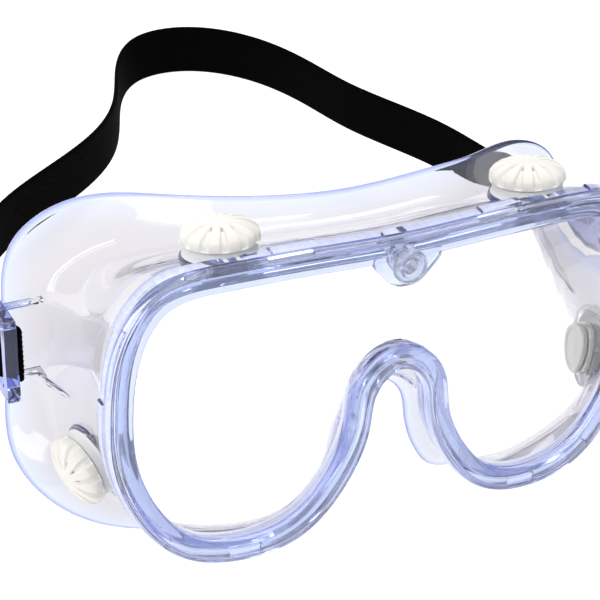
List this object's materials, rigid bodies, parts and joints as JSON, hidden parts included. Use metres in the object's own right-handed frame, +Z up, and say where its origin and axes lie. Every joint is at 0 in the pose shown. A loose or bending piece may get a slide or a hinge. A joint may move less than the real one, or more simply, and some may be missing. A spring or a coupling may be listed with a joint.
{
  "type": "safety goggles",
  "caption": "Clear soft-rimmed chemical splash goggles with one wide lens, round indirect vents on the brow and sides, side strap lugs and a black elastic headband.",
  "frame": {"origin": "middle of the bounding box in X and Y, on the table under the goggles at rest", "axes": "+Z up from the table, lens faces -Y and leans back 17 degrees at rest, headband runs to +Y, X is left to right"},
  "size_m": [0.1834, 0.2136, 0.0986],
  "materials": {
    "soft_clear_pvc": "smooth soft clear PVC, faint blue tint",
    "clear_polycarbonate": "polished clear",
    "clear_stud_plastic": "translucent, faint blue",
    "white_vent_plastic": "satin white",
    "grey_disc_plastic": "matte",
    "black_elastic": "woven elastic webbing",
    "black_thread": "thread"
  },
  "bodies": {
    "goggles": {"goggle_body": "soft_clear_pvc", "headband": "black_elastic", "hem_stitch_left": "black_thread", "hem_stitch_right": "black_thread", "lens": "clear_polycarbonate", "stud_washer": "clear_stud_plastic", "vent_baffle_side_left": "grey_disc_plastic", "vent_baffle_side_right": "grey_disc_plastic", "vent_baffle_top_left": "grey_disc_plastic", "vent_baffle_top_right": "grey_disc_plastic", "vent_base_side_left": "white_vent_plastic", "vent_base_side_right": "white_vent_plastic", "vent_base_top_left": "white_vent_plastic", "vent_base_top_right": "white_vent_plastic"},
    "vent_cap_top_left_body": {"vent_cap_top_left": "white_vent_plastic"},
    "vent_cap_top_right_body": {"vent_cap_top_right": "white_vent_plastic"},
    "vent_cap_side_left_body": {"vent_cap_side_left": "white_vent_plastic"},
    "vent_cap_side_right_body": {"vent_cap_side_right": "white_vent_plastic"},
    "lens_stud_body": {"lens_stud": "clear_stud_plastic"}
  },
  "joints": [
    {"name": "vent_cap_top_left_turn", "type": "hinge", "parent": "goggles", "child": "vent_cap_top_left_body", "pos_m": [-0.04288, -0.06925, 0.08937], "axis": [0.0019, 0.3984, 0.9172], "continuous": true},
    {"name": "vent_cap_top_right_turn", "type": "hinge", "parent": "goggles", "child": "vent_cap_top_right_body", "pos_m": [0.04288, -0.06925, 0.08937], "axis": [-0.0019, 0.3984, 0.9172], "continuous": true},
    {"name": "vent_cap_side_left_turn", "type": "hinge", "parent": "goggles", "child": "vent_cap_side_left_body", "pos_m": [-0.07287, -0.07335, 0.0267], "axis": [-0.9387, -0.3102, -0.1505], "continuous": true},
    {"name": "vent_cap_side_right_turn", "type": "hinge", "parent": "goggles", "child": "vent_cap_side_right_body", "pos_m": [0.07287, -0.07335, 0.0267], "axis": [0.9387, -0.3102, -0.1505], "continuous": true},
    {"name": "lens_stud_pull", "type": "slide", "parent": "goggles", "child": "lens_stud_body", "axis": [0, -0.9563, 0.2924], "range_m": [0, 0.009]}
  ]
}
